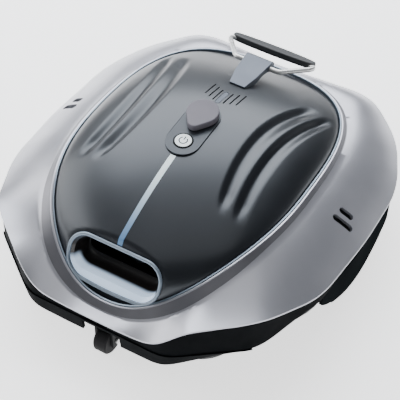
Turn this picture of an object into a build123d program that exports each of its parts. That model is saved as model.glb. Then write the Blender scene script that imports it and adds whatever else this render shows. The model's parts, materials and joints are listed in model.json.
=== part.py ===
from build123d import *
import math
import os

# Cordless pool cleaner robot, about 392 mm long, 374 mm wide and 164 mm high.
#
# Millimetres, +Z up, the floor at Z = 0.  The front, with the jet outlet, faces -Y, and +X is the
# right-hand side seen from the front.  The vertical axis through the origin is the polar axis of the
# rim, the shell and the skirt: an angle of 0 points to the front and 180 to the rear.

os.makedirs("parts", exist_ok=True)

# ---- driving dimensions -------------------------------------------------------------------------
HALF_LENGTH = 196.0          # shell edge, front and rear
WALL = 3.0                   # moulded shells
CROWN_Y, CROWN_Z = 15.0, 156.0      # top of the dome
RIM_HALF_WIDTH = 121.0       # oval rim that the dome sits in
RIM_FRONT, RIM_REAR = 173.0, 162.0
RIM_Z = 118.0
RIM_FRONT_DROP, RIM_REAR_DROP = 55.0, 10.0
FLOOR_Z = 24.0               # underside of the chassis tub
DECK_Z = 50.0                # top of the chassis deck
GAP = 0.3                    # clearance between pieces on different bodies

# Right half of the shell edge in plan: corners, with the radius that rounds each of them.
EDGE_CORNERS = [(80, -196, 40), (150, -143, 45), (182, -72, 70), (186.7, 15, 600),
                (183, 100, 70), (152, 163, 60), (104, 196, 40)]
# Height of the shell edge and of the skirt's lower edge, by polar angle.
EDGE_Z = [(0, 56), (14, 58), (20, 64), (27, 82), (33, 86), (45, 88), (58, 80), (68, 75), (90, 72),
          (112, 69), (128, 73), (140, 77), (151, 86), (165, 82), (180, 78)]
SKIRT_Z = [(0, 48), (25, 48), (44, 48), (51, 49), (58, 55), (63, 60), (70, 61), (117, 61),
           (126, 50), (140, 45), (180, 44)]
LIP_Z = [(0, 28), (18, 29), (27, 35), (37, 42), (46, 45)]

# Outlet facet: the flat face cut across the front of the dome.
FACET_TOP_Y, FACET_TOP_Z = -143.0, 115.0
FACET_ANGLE = 27.5           # lean of the facet from the vertical
OUTLET_WIDTH, OUTLET_HEIGHT, OUTLET_Z = 102.0, 42.0, 92.0

# Wheels, rollers and controls.
WHEEL_R, WHEEL_WIDTH, WHEEL_X, WHEEL_Y = 40.0, 24.0, 152.0, 22.0
AXLE_R = 4.0
ROLLER_R, ROLLER_WIDTH, ROLLER_X, ROLLER_Y = 17.0, 15.0, 6.0, 181.0
PLATE_R, PLATE_T, PLATE_SPAN = 18.5, 1.6, 38.0     # span from the button to the cap
PLATE_Y, PLATE_Z, PLATE_TILT = -7.0, 155.6, 3.8
BUTTON_R, BUTTON_PROUD = 9.8, 0.8
CAP_R, CAP_POINT, CAP_HEIGHT = 16.5, 24.0, 8.0
SOCKET_R = 9.4
BAR_R, BAR_Y, BAR_Z = 2.75, 124.5, 141.5      # front bar of the handle bail, its hinge line
GRIP_REACH, GRIP_DROP = 37.0, 9.5             # from the front bar back and down to the grip


# ---- shared curves ------------------------------------------------------------------------------
def smooth(table, at):
    """A smooth curve through a table of (place, value) pairs, flat at both ends."""
    for i in range(len(table) - 1):
        (a, va), (b, vb) = table[i], table[i + 1]
        if at <= b:
            break
    before = table[i - 1] if i > 0 else (a - (b - a), vb)
    after = table[i + 2] if i + 2 < len(table) else (b + (b - a), va)
    slope_a = (vb - before[1]) / (b - before[0])
    slope_b = (after[1] - va) / (after[0] - a)
    t = (at - a) / (b - a)
    span = b - a
    return ((2 * t**3 - 3 * t**2 + 1) * va + (t**3 - 2 * t**2 + t) * span * slope_a
            + (3 * t**2 - 2 * t**3) * vb + (t**3 - t**2) * span * slope_b)


def rim_radius(angle):
    """Distance of the dome's rim from the polar axis: two half superellipses."""
    s, c = abs(math.sin(math.radians(angle))), math.cos(math.radians(angle))
    length, power = (RIM_FRONT, 2.2) if c > 0 else (RIM_REAR, 3.0)
    return ((s / RIM_HALF_WIDTH) ** power + (abs(c) / length) ** power) ** (-1 / power)


def rim_z(angle):
    y = -rim_radius(angle) * math.cos(math.radians(angle))
    if y < 0:
        return RIM_Z - RIM_FRONT_DROP * (y / RIM_FRONT) ** 4
    return RIM_Z - RIM_REAR_DROP * (y / RIM_REAR) ** 1.5


def edge_wire(inset=0.0):
    """Half outline of the shell edge in plan, from the front centre to the rear centre."""
    points = [(0, -HALF_LENGTH)] + [(x, y) for x, y, _ in EDGE_CORNERS] + [(0, HALF_LENGTH)]
    line = FilletPolyline(*points, radius=[r for _, _, r in EDGE_CORNERS])
    return line


EDGE = edge_wire()


def edge_radius(angle):
    """Distance of the shell edge from the polar axis, where a ray at this angle crosses it."""
    low, high = 0.0, 1.0
    for _ in range(40):
        middle = (low + high) / 2
        p = EDGE @ middle
        low, high = (middle, high) if math.degrees(math.atan2(p.X, -p.Y)) < angle else (low, middle)
    p = EDGE @ ((low + high) / 2)
    return math.hypot(p.X, p.Y)


def polar(angle, radius, z):
    a = math.radians(angle)
    return Vector(radius * math.sin(a), -radius * math.cos(a), z)


def band(profile, start=0.0, end=180.0, count=25):
    """A solid whose section at each polar angle is the polygon profile(angle), as (radius, z) pairs."""
    wires = []
    for k in range(count):
        angle = start + (end - start) * k / (count - 1)
        wires.append(Wire.make_polygon([polar(angle, r, z) for r, z in profile(angle)], close=True))
    return Solid.make_loft(wires)


def both_sides(half):
    """A half band and its mirror image, joined where they meet on the middle plane."""
    return half + half.mirror(Plane.YZ)


def node(name, *solids):
    shape = solids[0] if len(solids) == 1 else Compound(children=list(solids))
    shape.label = name
    export_step(shape, f"parts/{name}.step")


def bar_x(x0, x1, y, z, radius):
    """A round bar along X."""
    return Pos((x0 + x1) / 2, y, z) * Rot(0, 90, 0) * Cylinder(radius, x1 - x0)


# ---- dome ---------------------------------------------------------------------------------------
FRONT_FALL, REAR_FALL = (103.0, 16.0, 2.0), (140.0, 45.0, 1.8)   # distance, drop, power
ARCH_POWER = 0.6             # 0.5 is an elliptical arch across the dome, 1 a parabola


def ridge_z(y):
    """Height of the dome along its middle line."""
    span, drop, power = FRONT_FALL if y < CROWN_Y else REAR_FALL
    return CROWN_Z - drop * (abs(y - CROWN_Y) / span) ** power


def dome_solid(inset, base_drop):
    """Loft of arched sections across the dome, closed below the rim."""
    stations = [-0.995, -0.96, -0.9, -0.8, -0.65, -0.45, -0.2, 0.1, 0.35, 0.58, 0.75, 0.87, 0.95, 0.995]
    wires = []
    for s in stations:
        power, length = (2.2, RIM_FRONT) if s < 0 else (3.0, RIM_REAR)
        y = s * (length - inset)
        half = (RIM_HALF_WIDTH - inset) * (1 - abs(s) ** power) ** (1 / power)
        low = rim_z(math.degrees(math.atan2(half, -y)))
        rise = max(1.0, ridge_z(y) - inset - low)
        arch = []
        for k in range(-6, 7):
            turn = math.radians(15 * k)
            arch.append(Vector(half * math.sin(turn), y, low + rise * math.cos(turn) ** (2 * ARCH_POWER)))
        base = low - base_drop
        foot_a, foot_b = Vector(-half, y, base), Vector(half, y, base)
        edges = [Edge.make_spline(arch), Edge.make_line(arch[-1], foot_b),
                 Edge.make_line(foot_b, foot_a), Edge.make_line(foot_a, arch[0])]
        wires.append(Wire(edges))
    return Solid.make_loft(wires)


def facet_cutter(depth):
    """Half space in front of the outlet facet, moved back by depth."""
    plane = Pos(0, FACET_TOP_Y, FACET_TOP_Z) * Rot(-FACET_ANGLE, 0, 0)
    return plane * Pos(0, depth - 100, 0) * Box(400, 200, 400)


FACET = Pos(0, FACET_TOP_Y - (FACET_TOP_Z - OUTLET_Z) * math.tan(math.radians(FACET_ANGLE)),
            OUTLET_Z) * Rot(-FACET_ANGLE, 0, 0)      # local -Y leaves the facet


def slot_prism(width, height, y0, y1):
    """A prism with round ends, across the facet, from local y0 to y1."""
    face = FACET * Pos(0, y1, 0) * Rot(90, 0, 0) * SlotOverall(width, height)
    return extrude(face, y1 - y0)


# Light strip, let into the dome flush with its surface.
STRIP_WIDTH, STRIP_DEPTH = 5.5, 1.2
# Seat for the control plate, and the holes for the button and the charging socket.
PLATE = Pos(0, PLATE_Y, PLATE_Z) * Rot(PLATE_TILT, 0, 0)      # local Z = 0 is the top of the plate
BUTTON = PLATE * Pos(0, -PLATE_SPAN / 2, 0)
SOCKET = PLATE * Pos(0, PLATE_SPAN / 2, 0)


def disc(place, radius, z0, z1):
    """A cylinder along the local Z of a place."""
    return place * Pos(0, 0, (z0 + z1) / 2) * Cylinder(radius, z1 - z0)


def plate_prism(grow, z0, z1):
    face = PLATE * Pos(0, 0, z0) * Rot(0, 0, 90) * SlotOverall(
        PLATE_SPAN + 2 * (PLATE_R + grow), 2 * (PLATE_R + grow))
    return extrude(face, z1 - z0)


# Vent slots round a pill-shaped indicator window, ahead of the handle tongue.
VENT_Y, VENT_PITCH, VENT_LENGTH = 52.0, 6.0, 22.0


def make_dome_cover():
    """Glossy lid: hollow dome with the plate seat, the strip slot, the vents and the outlet mouth."""
    outer = dome_solid(0, 0.5) - facet_cutter(0)
    inner = dome_solid(WALL, 12) - facet_cutter(WALL)
    dome = outer - inner
    dome -= slot_prism(OUTLET_WIDTH, OUTLET_HEIGHT, -6, 12)
    strip_top = PLATE_Y - PLATE_SPAN / 2 - PLATE_R - 0.2
    strip_box = Pos(0, (strip_top + FACET_TOP_Y - 2) / 2, 130) * Box(
        STRIP_WIDTH, strip_top - FACET_TOP_Y - 2, 80)
    strip = (outer & strip_box) - (outer.moved(Location((0, 0, -STRIP_DEPTH))))
    dome -= (outer & strip_box) - (outer.moved(Location((0, 0, -STRIP_DEPTH))))
    strip = max(strip.solids(), key=lambda s: s.volume)

    dome -= plate_prism(0.1, -PLATE_T, 12)
    dome -= disc(BUTTON, BUTTON_R + GAP, -8, 8)
    dome -= disc(SOCKET, SOCKET_R + 0.1, -8, 8)
    for k in (-3, -2, -1, 1, 2, 3):
        slot = Pos(k * VENT_PITCH, VENT_Y + 3 * (abs(k) - 1), 150) * Rot(0, 0, 90) * SlotOverall(
            VENT_LENGTH, 1.6)
        dome -= extrude(slot, 20)
    pill = extrude(Pos(0, VENT_Y - 2, 140) * Rot(0, 0, 90) * SlotOverall(24, 6), 30)
    window = (outer & pill) - inner
    window = max(window.solids(), key=lambda s: s.volume)
    dome -= pill
    dome = max(dome.solids(), key=lambda s: s.volume)
    node("dome_cover", dome)
    return outer, strip, window


def make_light_strip(strip):
    """Light guide, let into the lid flush with its surface."""
    node("light_strip", strip)


def make_indicator_window(window):
    """Pill-shaped window between the vents."""
    node("indicator_window", window)


def make_rim_bezel():
    """Thin bright lip round the lid."""
    # Rim bezel between the dome and the shell, and the gasket under it.
    node("rim_bezel", both_sides(band(lambda a: [
        (rim_radius(a) + 0.3, rim_z(a) - 2.0), (rim_radius(a) + 2.6, rim_z(a) - 2.0),
        (rim_radius(a) + 2.2, rim_z(a) + 2.2), (rim_radius(a) + 0.8, rim_z(a) + 2.4)])))


def make_dome_gasket():
    """Rubber seal under the bezel."""
    node("dome_gasket", both_sides(band(lambda a: [
        (rim_radius(a) - 2.5, rim_z(a) - 4.6), (rim_radius(a) + 2.4, rim_z(a) - 4.6),
        (rim_radius(a) + 2.4, rim_z(a) - 2.2), (rim_radius(a) + 0.3, rim_z(a) - 2.2),
        (rim_radius(a) + 0.3, rim_z(a) - 0.8), (rim_radius(a) - 2.5, rim_z(a) - 0.8)])))


# ---- silver shell -------------------------------------------------------------------------------
BEVEL_WIDTH = [(0, 9), (25, 15), (40, 13), (60, 8), (90, 6.5), (180, 6.5)]
BEVEL_DEPTH = [(0, 6), (25, 10), (40, 8.5), (60, 6), (90, 5), (180, 5)]
SHELL_BULGE = [(0, 0.0), (25, 0.5), (45, -1.5), (65, 3.0), (90, 5.0), (130, 6.0), (152, 5.0), (180, 3.0)]


def shell_profile(angle):
    """Section of the shell: collar, bevel, swept skirt and lip, then back along the inside."""
    r0, z0 = rim_radius(angle) + 2.8, rim_z(angle) + 1.2
    r1, z1 = r0 + smooth(BEVEL_WIDTH, angle), z0 - smooth(BEVEL_DEPTH, angle)
    r2, z2 = edge_radius(angle), smooth(EDGE_Z, angle)
    bulge = smooth(SHELL_BULGE, angle)

    def swept(t):
        return r1 + (r2 - r1) * t, z1 + (z2 + 2 - z1) * t + 4 * bulge * t * (1 - t)

    top = [(r0, z0), (r0 + 1.6, z0), (r1, z1)] + [swept(t) for t in (0.25, 0.5, 0.75)]
    lip = [(r2, z2 + 2), (r2, z2), (r2 - 2.2, z2)]
    inside = [(r - 0.8 * WALL, max(z - WALL, z2)) for r, z in reversed(top[3:])]
    return top + lip + inside + [(r1 - 1.5, max(z1 - WALL, z2)), (r0, z0 - WALL - 1)]


VENT_X, VENT_SIDE_Y, VENT_SIDE_Z = 160.0, 14.0, 92.0


def side_vent_prisms(sign, grow):
    """Two slanted slots on each flank of the shell, cut square to it."""
    place = Pos(sign * VENT_X, VENT_SIDE_Y, VENT_SIDE_Z) * Rot(0, sign * 36, 0)
    prisms = []
    for dy, length in ((-6, 26), (6, 18)):
        face = place * Pos(0, dy, -12) * Rot(0, 0, sign * 12) * SlotOverall(length + grow, 7 + grow)
        prisms.append(extrude(face, 24))
    return prisms


def make_top_shell():
    """One-piece silver shell from the collar to the wavy edge, with two drain slots a side."""
    shell = both_sides(band(shell_profile, count=37))
    vents = {}
    for side, sign in (("right", 1), ("left", -1)):
        raw = side_vent_prisms(sign, 0)
        vents[side] = [max((p & shell).solids(), key=lambda s: s.volume) for p in raw]
        for p in raw:
            shell -= p
    shell = max(shell.solids(), key=lambda s: s.volume)
    node("top_shell", shell)
    return vents


def make_flank_vent(vents):
    """Dark inserts of the drain slots."""
    for side in vents:
        node(f"flank_vent_{side}", *vents[side])


# ---- skirt, bumper lip and wheel covers ---------------------------------------------------------
def skirt_profile(angle):
    r, low, high = edge_radius(angle) - 2.5, smooth(SKIRT_Z, angle), smooth(EDGE_Z, angle) - 0.3
    return [(r, high), (r, low), (r - WALL, low), (r - WALL, high)]


def make_skirt():
    """Dark skirt under the shell edge."""
    node("skirt", both_sides(band(skirt_profile, count=37)))


LIP_ANGLE, LIP_TOP_Z = 46.0, 47.4


def lip_profile(angle):
    r, low = edge_radius(angle), smooth(LIP_Z, angle)
    return [(r - 1.0, LIP_TOP_Z), (r - 3.5, low), (r - 7.0, low), (r - 5.5, LIP_TOP_Z)]


def make_bumper_lip():
    """Lip at the foot of the skirt, across the front."""
    lip = both_sides(band(lip_profile, 0, LIP_ANGLE, 13))
    lip -= Pos(ROLLER_X + 1, -190, 34) * Box(44, 40, 20)
    node("bumper_lip", lip)


COVER_Y0, COVER_Y1, COVER_Z = -62.0, 92.0, 12.0
COVER_SAG_R = 118.0


def wheel_cover():
    """Side plate that hangs below the skirt, with an arched lower edge and a raised middle."""
    start = math.degrees(math.atan2(181, -COVER_Y0))
    end = math.degrees(math.atan2(183, -COVER_Y1))

    def profile(angle):
        r = edge_radius(angle) - 2.5
        return [(r, 60.6), (r - 1.5, COVER_Z - 4), (r - 5.5, COVER_Z - 4), (r - 4.0, 60.6)]

    plate = band(profile, start, end, 9)
    middle = (COVER_Y0 + COVER_Y1) / 2
    arch = Pos(180, middle + 8, COVER_Z + COVER_SAG_R) * Rot(0, 90, 0) * Cylinder(COVER_SAG_R, 60)
    step = Pos(180, middle + 3, COVER_Z + 20) * Box(60, 112, 90)
    ends = plate & (Pos(0, 0, 1.8) * arch)
    return (ends - step) + (plate & arch & step)


def make_wheel_cover_right():
    """Cover of the right drive wheel."""
    cover = wheel_cover()
    cover = max(cover.solids(), key=lambda s: s.volume)
    node("wheel_cover_right", cover)
    return cover


def make_wheel_cover_left(cover):
    """Cover of the left drive wheel, the mirror image."""
    node("wheel_cover_left", cover.mirror(Plane.YZ))


# ---- chassis ------------------------------------------------------------------------------------
TUB_X, TUB_Y0, TUB_Y1 = 122.0, -168.0, 160.0
DECK_T, DECK_SCALE = 3.5, 0.955


def rounded_prism(width, length, radius, z0, z1, y=0.0):
    return extrude(Pos(0, y, z0) * RectangleRounded(width, length, radius), z1 - z0)


# Filter bay: an opening in the floor, closed by the hinged door.
BAY_X, BAY_Y0, BAY_Y1 = 88.0, -112.0, 112.0
BAY_MID, BAY_LEN = (BAY_Y0 + BAY_Y1) / 2, BAY_Y1 - BAY_Y0
# Hinge knuckles for the door at the rear, on the underside.
DOOR_Z, DOOR_T = FLOOR_Z - 2.0, 3.0
HINGE_Y, HINGE_Z, KNUCKLE_R = BAY_Y1 + 6.0, FLOOR_Z - 1.1, 2.8
SCREW_ANGLES = (20, 52, 128, 160)


def make_chassis_tub():
    """Deck and tub in one: wheel wells, axle bosses, filter bay, roller notches and hinge knuckles."""
    tub_mid, tub_len = (TUB_Y0 + TUB_Y1) / 2, TUB_Y1 - TUB_Y0
    deck_half = [EDGE @ (k / 60) for k in range(61)]
    deck_right = [(p.X * DECK_SCALE, p.Y * DECK_SCALE) for p in deck_half]
    deck_left = [(-x, y) for x, y in reversed(deck_right[1:-1])]
    deck_face = make_face(Polyline(*deck_right, *deck_left, close=True))
    chassis = extrude(Pos(0, 0, DECK_Z - DECK_T) * deck_face, DECK_T)
    chassis += rounded_prism(2 * TUB_X, tub_len, 40, FLOOR_Z, DECK_Z, tub_mid)
    chassis -= rounded_prism(2 * (TUB_X - WALL), tub_len - 2 * WALL, 37, FLOOR_Z + WALL, DECK_Z + 1, tub_mid)
    for sign in (1, -1):
        chassis -= Pos(sign * (WHEEL_X + 3), WHEEL_Y, DECK_Z) * Box(50, 2 * WHEEL_R + 14, 40)
        boss = Pos(sign * 112, WHEEL_Y, WHEEL_R) * Rot(0, 90, 0) * Cylinder(10, 20)
        chassis += boss
        chassis -= Pos(sign * 112, WHEEL_Y, WHEEL_R) * Rot(0, 90, 0) * Cylinder(8, 40)
    chassis -= Pos(0, BAY_MID, FLOOR_Z + 1) * Box(2 * BAY_X, BAY_LEN, 12)
    # Notches for the rollers and their brackets.
    for sign in (-1, 1):
        chassis -= Pos(-sign * ROLLER_X, sign * (ROLLER_Y - 1), 40) * Box(30, 44, 60)
    chassis = max(chassis.solids(), key=lambda s: s.volume)
    for sign in (1, -1):
        chassis += bar_x(sign * 66 - 6, sign * 66 + 6, HINGE_Y, HINGE_Z, KNUCKLE_R)
        chassis -= bar_x(sign * 58 - 18, sign * 58 + 18, HINGE_Y, HINGE_Z, 1.6)
        chassis -= Pos(sign * 50, HINGE_Y, FLOOR_Z) * Box(13, 8, 12)      # room for the door's arm
    screws = []
    for angle in SCREW_ANGLES:
        for sign in (1, -1):
            at = polar(sign * angle, edge_radius(angle) * DECK_SCALE - 11, DECK_Z - DECK_T)
            chassis -= Pos(at) * Cylinder(1.65, 20)
            screw = Pos(at) * (Pos(0, 0, -1.1) * Cylinder(3.2, 2.0) + Pos(0, 0, 2.4) * Cylinder(1.5, 5.2))
            screws.append(screw - Pos(at) * Pos(0, 0, -2.1) * extrude(RegularPolygon(1.7, 6), 1.4))
    chassis = max(chassis.solids(), key=lambda s: s.volume)
    node("chassis_tub", chassis)
    return screws


def make_deck_screws(screws):
    """Screws that hold the deck."""
    node("deck_screws", *screws)


INLET_X, INLET_Y0, INLET_LEN = 52.0, 62.0, 22.0
DOOR_LOW = DOOR_Z - 2.0
LATCH_Y = -103.0
FLAP_HINGE_Y, FLAP_Z = INLET_Y0 + 14.5, DOOR_LOW + DOOR_T + 1.3


# ---- filter door, inlet flaps, latch and filter -------------------------------------------------
def make_filter_door():
    """Bottom door of the filter bay, with two inlets, ribs and hinge arms."""
    door = Pos(0, BAY_MID, DOOR_Z + DOOR_T / 2 - 2.0) * Box(2 * BAY_X + 10, BAY_LEN + 6, DOOR_T)
    door -= Pos(0, BAY_Y1 + 3, DOOR_Z - 0.5) * Box(2 * BAY_X + 20, 2.5, 10)
    for sign in (1, -1):
        door -= Pos(0, sign * INLET_Y0, DOOR_Z) * Box(2 * INLET_X, INLET_LEN, 12)
    for k in (-2, -1, 0, 1, 2):
        door += Pos(k * 30, 0, DOOR_LOW + DOOR_T + 0.9) * Box(2, 76, 2.2)
    door -= Pos(0, LATCH_Y - 1.8, DOOR_Z) * Box(27, 13.2, 12)
    for sign in (1, -1):
        for x in (56, -56):
            ear = Pos(x, sign * FLAP_HINGE_Y, FLAP_Z - 0.4) * Box(3, 4, 3.0)
            door += ear - bar_x(x - 4, x + 4, sign * FLAP_HINGE_Y, FLAP_Z, 0.85)
    for x in (50, -50):
        arm = Pos(x, BAY_Y1 + 1.2, DOOR_Z - 0.5) * Box(12, 9, 3)
        arm += bar_x(x - 6, x + 6, HINGE_Y, HINGE_Z, KNUCKLE_R)
        arm -= bar_x(x - 8, x + 8, HINGE_Y, HINGE_Z, 1.6)
        door += arm
    door = max(door.solids(), key=lambda s: s.volume)
    node("filter_door", door)


def make_door_hinge_pins():
    """Two pins in the knuckles at the rear."""
    node("door_hinge_pins", bar_x(42, 74, HINGE_Y, HINGE_Z, 1.55), bar_x(-74, -42, HINGE_Y, HINGE_Z, 1.55))


def make_inlet_flap_rear():
    """Flap that closes the rear inlet when the suction stops."""
    flap = Pos(0, INLET_Y0 + 0.5, FLAP_Z) * Box(2 * INLET_X + 3, INLET_LEN + 3, 1.6)
    flap += bar_x(-INLET_X - 1.5, INLET_X + 1.5, FLAP_HINGE_Y, FLAP_Z, 0.8)
    flap += Pos(0, FLAP_HINGE_Y - 1.2, FLAP_Z) * Box(2 * INLET_X + 3, 2.2, 1.6)
    flap += bar_x(-58, 58, FLAP_HINGE_Y, FLAP_Z, 0.8)
    node("inlet_flap_rear", flap)
    return flap


def make_inlet_flap_front(flap):
    """The same flap, turned for the front inlet."""
    node("inlet_flap_front", flap.mirror(Plane.XZ))


def make_door_latch():
    """Sliding latch in a pocket of the door."""
    latch = Pos(0, LATCH_Y, DOOR_LOW + 1.3) * Box(26, 9, 2.2)
    latch += Pos(0, LATCH_Y, DOOR_LOW + 5) * Box(8, 6, 7)
    latch += Pos(0, LATCH_Y - 2.6, FLOOR_Z + WALL + 1.3) * Box(16, 11.2, 2)
    node("door_latch", latch)


BASKET_X, BASKET_Y, BASKET_Z0, BASKET_Z1 = 84.0, 96.0, 26.2, 62.0


def make_filter_basket():
    """Open frame that holds the mesh over the bay."""
    basket = rounded_prism(2 * BASKET_X, 2 * BASKET_Y, 10, BASKET_Z0, BASKET_Z1)
    basket -= rounded_prism(2 * BASKET_X - 4, 2 * BASKET_Y - 4, 8, BASKET_Z0 - 1, BASKET_Z1 + 1)
    for k in range(-2, 3):
        basket -= Pos(0, k * 32, (BASKET_Z0 + BASKET_Z1) / 2) * Box(400, 22, 20)
    node("filter_basket", basket)


def make_filter_mesh():
    """Fine mesh on top of the basket."""
    node("filter_mesh", rounded_prism(2 * BASKET_X, 2 * BASKET_Y, 10, BASKET_Z1 + 0.1, BASKET_Z1 + 1.3))


# ---- outlet -------------------------------------------------------------------------------------
RING_W = 5.0


def across_facet(width, height, y0, y1):
    """A prism with round ends, square to the facet; local Y grows into the body."""
    face = FACET * Pos(0, y0, 0) * Rot(-90, 0, 0) * SlotOverall(width, height)
    return extrude(face, y1 - y0)


def make_outlet_ring():
    """Bezel of the outlet, on the facet."""
    ring = across_facet(OUTLET_WIDTH + 2 * RING_W, OUTLET_HEIGHT + 2 * RING_W, -3.0, -0.05)
    ring += across_facet(OUTLET_WIDTH - 0.2, OUTLET_HEIGHT - 0.2, -1, 3)
    ring -= across_facet(OUTLET_WIDTH - 4, OUTLET_HEIGHT - 4, -9, 9)
    inside_rim = [polar(a, rim_radius(a) - 2.6, 40) for a in range(-180, 180, 3)]
    ring &= extrude(make_face(Polyline(*inside_rim, close=True)), 100)
    node("outlet_ring", ring)


DUCT_Y0, DUCT_Y1 = 3.3, 46.0


def make_outlet_duct():
    """Duct from the pump housing to the mouth."""
    duct = across_facet(OUTLET_WIDTH, OUTLET_HEIGHT, DUCT_Y0, DUCT_Y1)
    duct -= across_facet(OUTLET_WIDTH - 4, OUTLET_HEIGHT - 4, DUCT_Y0 - 1, DUCT_Y1 - 2)
    duct -= FACET * Pos(0, DUCT_Y1, 6) * Rot(90, 0, 0) * Cylinder(14, 20)
    node("outlet_duct", duct)


def make_jet_scoop():
    """Curved floor of the mouth."""
    scoop = across_facet(OUTLET_WIDTH - 4.4, OUTLET_HEIGHT - 4.4, DUCT_Y0, 34)
    scoop -= FACET * Pos(0, DUCT_Y0, 20 - 0.15 * OUTLET_HEIGHT) * Rot(-24, 0, 0) * Box(200, 100, 40)
    scoop = max(scoop.solids(), key=lambda s: s.volume)
    node("jet_scoop", scoop)


# ---- pump ---------------------------------------------------------------------------------------
PUMP_R, PUMP_Z0, PUMP_Z1, EYE_R = 34.0, 74.0, 106.0, 18.0
PUMP_Y = -32.0


def post(radius, z0, z1, x=0.0, y=0.0):
    return Pos(x, y, (z0 + z1) / 2) * Cylinder(radius, z1 - z0)


def make_pump_housing():
    """Open-topped can round the impeller, with the suction eye below."""
    housing = post(PUMP_R, PUMP_Z0, PUMP_Z1, 0, PUMP_Y) + post(EYE_R + 2, BASKET_Z1 + 2, PUMP_Z0, 0, PUMP_Y)
    housing -= post(PUMP_R - 2, PUMP_Z0 + 2, PUMP_Z1 - 2, 0, PUMP_Y)
    housing -= post(EYE_R, BASKET_Z1, PUMP_Z0 + 4, 0, PUMP_Y) + post(5, PUMP_Z1 - 4, PUMP_Z1 + 2, 0, PUMP_Y)
    housing -= Pos(0, PUMP_Y - PUMP_R, 90) * Rot(90, 0, 0) * Cylinder(12, 20)
    node("pump_housing", housing)


IMPELLER_R, SHAFT_R = 29.0, 2.5


def make_impeller():
    """Rotor with vanes on a hub."""
    impeller = post(9, 79, 102, 0, PUMP_Y) + post(IMPELLER_R, 97, 99, 0, PUMP_Y)
    for k in range(6):
        impeller += Pos(0, PUMP_Y, 88) * Rot(0, 0, 60 * k) * Pos(18, 0, 0) * Rot(0, 0, 25) * Box(18, 2, 18)
    impeller += post(SHAFT_R, 100, 124, 0, PUMP_Y)
    node("impeller", impeller)


def make_pump_motor():
    """Motor above the housing."""
    motor = post(21, PUMP_Z1 + 0.2, 132, 0, PUMP_Y) + post(8, 132, 135, 0, PUMP_Y)
    motor -= post(SHAFT_R + 0.05, PUMP_Z1 - 1, 126, 0, PUMP_Y)
    node("pump_motor", motor)


# ---- battery and electronics --------------------------------------------------------------------
CELL_R, CELL_Y, CELL_Z = 9.2, 84.0, 78.0


def make_battery_cells():
    """Row of round cells."""
    cells = [bar_x(-66, 66, CELL_Y + dy, CELL_Z + dz, CELL_R) for dy in (-19, 0, 19) for dz in (0, 19)]
    node("battery_cells", *cells)


def make_battery_case():
    """Closed case round the cells."""
    case = Pos(0, CELL_Y, CELL_Z + 9.5) * Box(140, 64, 45)
    case -= Pos(0, CELL_Y, CELL_Z + 9.5) * Box(135, 59, 40)
    node("battery_case", case)


def make_control_board():
    """Circuit board with its chips."""
    board = Pos(0, CELL_Y - 2, 114) * Box(96, 54, 1.6)
    for x in (40, -40):
        for y in (20, -20):
            board += Pos(x, CELL_Y - 2 + y, 111.75) * Cylinder(3, 3.4)
    board += Pos(14, CELL_Y - 6, 117) * Box(22, 22, 4.4)
    node("control_board", board)


# ---- control plate, button and charging cap -----------------------------------------------------
def make_control_plate():
    """Flush oval plate with two holes."""
    plate = plate_prism(0, -PLATE_T, 0)
    plate -= disc(BUTTON, BUTTON_R + GAP, -9, 9) + disc(SOCKET, SOCKET_R + 0.1, -9, 9)
    node("control_plate", plate)


def make_power_button():
    """Round button with its stem."""
    node("power_button", disc(BUTTON, BUTTON_R, -3.6, BUTTON_PROUD) + disc(BUTTON, 3, -8, -3.6))


def make_button_boot():
    """Rubber boot under the button."""
    node("button_boot", disc(BUTTON, 12.6, -9.4, -5.4) - disc(BUTTON, 10.4, -10, -4))


def make_button_switch():
    """Switch that the boot presses."""
    node("button_switch", disc(BUTTON, 12.6, -13, -9.6) - disc(BUTTON, 7, -11, -9))


def make_charge_socket():
    """Socket under the cap."""
    socket = disc(SOCKET, SOCKET_R, -18, -0.1) - disc(SOCKET, 8.06, -15, 1)
    node("charge_socket", socket)


def make_charge_pins():
    """Pins in the socket."""
    pins = [disc(SOCKET * Pos(x, y, 0), 0.9, -14.9, -10.5) for x, y in ((0, 3.5), (3.2, -2), (-3.2, -2))]
    node("charge_pins", *pins)


def make_charging_cap():
    """Pick-shaped cap with a plug stem."""
    outline = make_hull(Circle(CAP_R).edges() + (Pos(0, 3.2 - CAP_POINT) * Circle(3.2)).edges())
    cap = extrude(SOCKET * Pos(0, 0, GAP) * outline, CAP_HEIGHT - GAP)
    cap = chamfer(cap.faces().sort_by(Axis.Z)[-1].edges(), 1.2)
    cap += disc(SOCKET, 8.0, -9, 1)
    node("charging_cap", cap)


# ---- handle -------------------------------------------------------------------------------------
CURL_R, HOOK = BAR_R + 2.7, 4.0       # the hook reaches a little past the bar


def rod(a, b, radius):
    """A round rod between two points, with a ball at each end."""
    a, b = Vector(*a), Vector(*b)
    plane = Plane(origin=a, z_dir=b - a)
    body = extrude(plane * Circle(radius), (b - a).length)
    return body + Pos(a) * Sphere(radius) + Pos(b) * Sphere(radius)


def make_handle_tongue(outer):
    """Strap from the lid to the bar, curled round it."""
    side_profile = Polyline((80, 138), (80, 146), (100, 147.4), (BAR_Y + HOOK, BAR_Z + CURL_R),
                            (BAR_Y + HOOK, BAR_Z - CURL_R), (113, 141.5), (103, 140.5), (97, 134), close=True)
    strap_face = make_face(Plane.YZ * side_profile)
    strap = extrude(strap_face, 20, both=True) + bar_x(-20, 20, BAR_Y + HOOK, BAR_Z, CURL_R)
    plan = make_face(Polyline((-9, 79), (9, 79), (15.5, 112), (15.5, 139), (-15.5, 139), (-15.5, 112),
                              close=True))
    strap &= extrude(Pos(0, 0, 120) * plan, 40)
    strap -= bar_x(-40, 40, BAR_Y, BAR_Z, BAR_R + 0.05)
    strap -= outer
    strap = max(strap.solids(), key=lambda s: s.volume)
    node("handle_tongue", strap)


BAR_HALF, GRIP_HALF = 26.0, 55.0


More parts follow.
